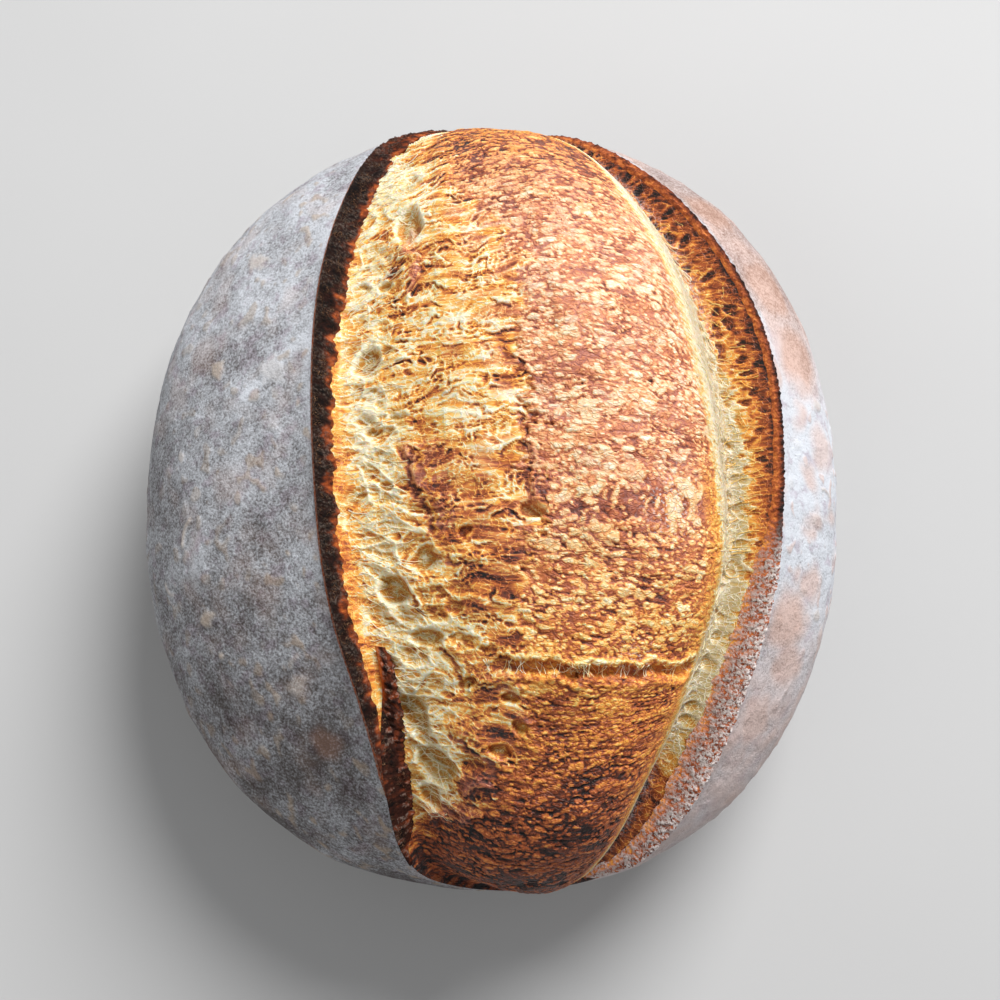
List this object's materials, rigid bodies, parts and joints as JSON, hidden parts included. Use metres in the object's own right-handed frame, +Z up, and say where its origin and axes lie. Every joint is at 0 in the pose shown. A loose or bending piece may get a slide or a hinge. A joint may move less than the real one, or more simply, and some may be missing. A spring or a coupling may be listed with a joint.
{
  "type": "sourdough loaf",
  "caption": "Round sourdough loaf with a floured crust, burst open along its top between two lips of crust, with a flat base.",
  "frame": {"origin": "on the table under the middle of the loaf", "axes": "+Z up, +Y along the loaf's length and its burst towards the back, +X across it towards the side with the valley beside the burst"},
  "size_m": [0.22, 0.2455, 0.1167],
  "materials": {
    "crust": "dry brown baked crust under a matte dusting of flour",
    "crumb": "torn, stretched crumb, baked from cream to caramel brown"
  },
  "bodies": {
    "root": {"loaf": "crust"}
  },
  "joints": []
}
